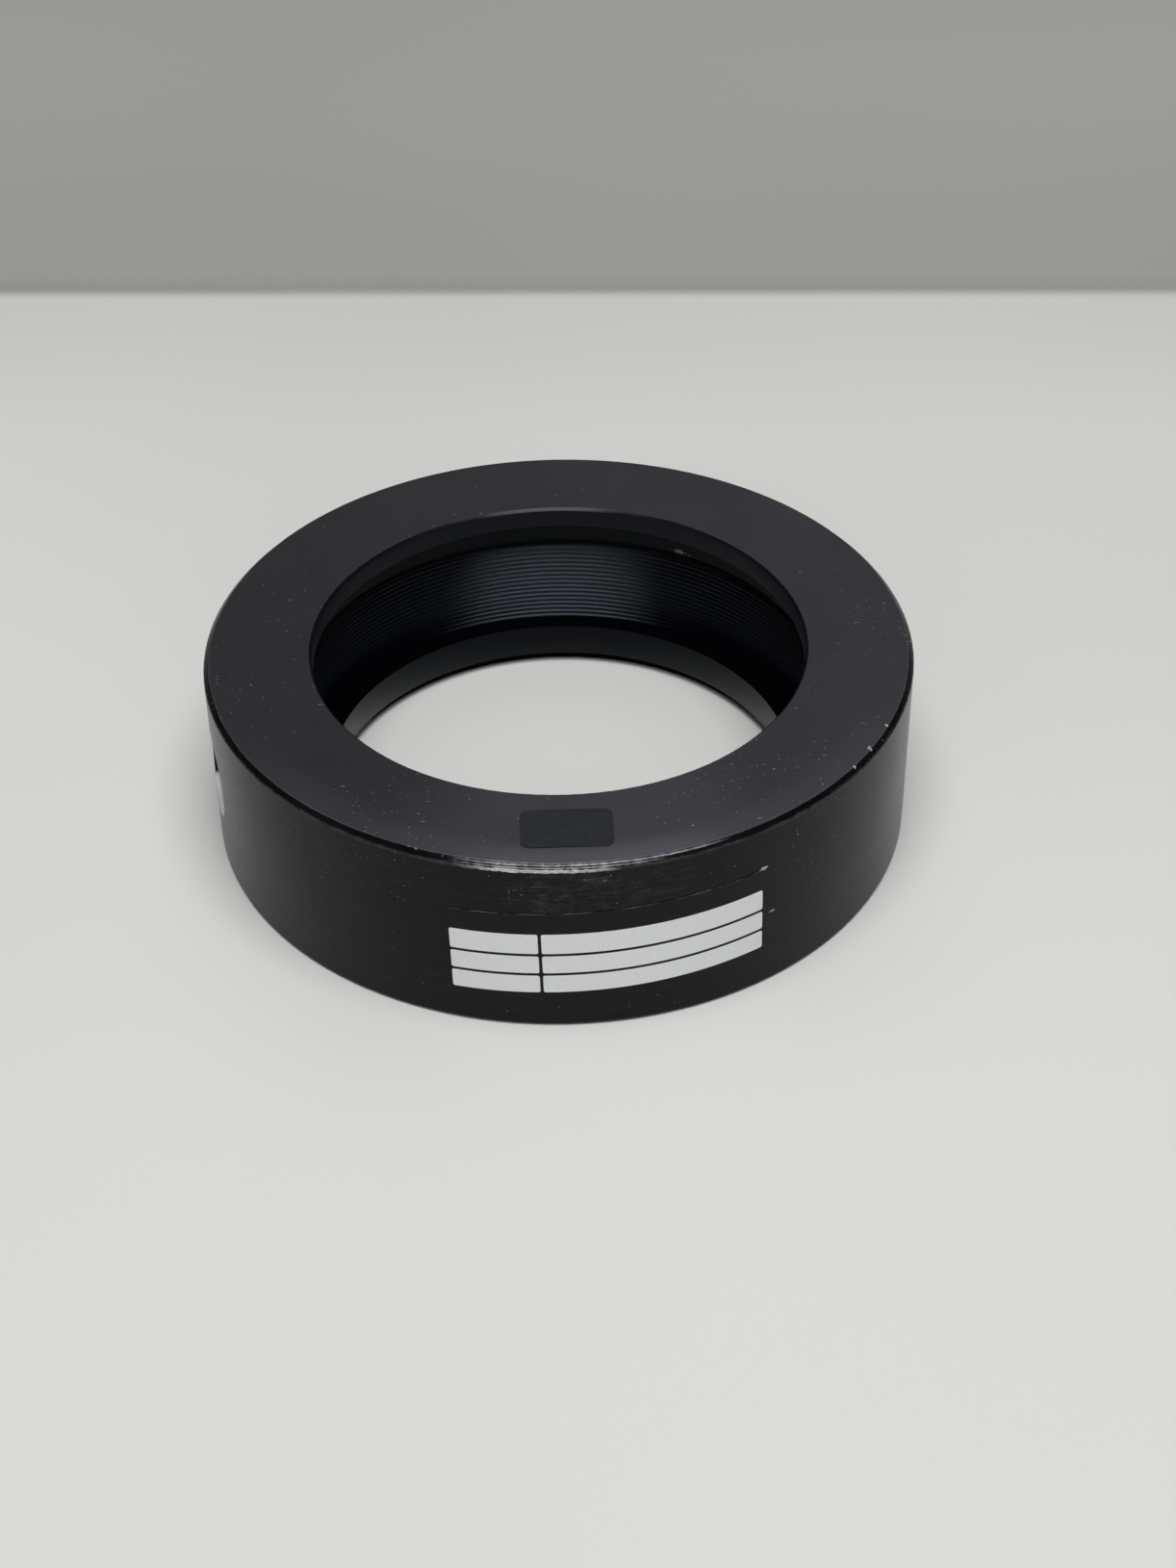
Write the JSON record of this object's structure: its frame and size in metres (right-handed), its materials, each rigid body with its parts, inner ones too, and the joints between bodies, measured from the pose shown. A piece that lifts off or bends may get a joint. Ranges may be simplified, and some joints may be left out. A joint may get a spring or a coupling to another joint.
{
  "type": "optical lens mount",
  "caption": "Black anodised ring that holds a round lens against an inner lip with a threaded retaining ring, with a tapped post hole in its side.",
  "frame": {"origin": "centre of the base, on the optical axis", "axes": "+Z along the optical axis towards the lip, -X out of the post hole; the printed label faces -Y"},
  "size_m": [0.1016, 0.1017, 0.0279],
  "materials": {
    "body_anodised": "black anodised, fine turned",
    "ring_anodised": "black anodised, turned",
    "side_label_film": "satin printed film",
    "top_label_film": "matte blank film",
    "label_print": "flat white print"
  },
  "bodies": {
    "mount": {"mount_body": "body_anodised", "side_label": "side_label_film", "top_label": "top_label_film"},
    "retainer": {"retaining_ring": "ring_anodised"}
  },
  "joints": [
    {"name": "retaining_ring_travel", "type": "slide", "parent": "mount", "child": "retainer", "axis": [0, 0, 1], "range_m": [-0.00794, 0.01349]}
  ]
}
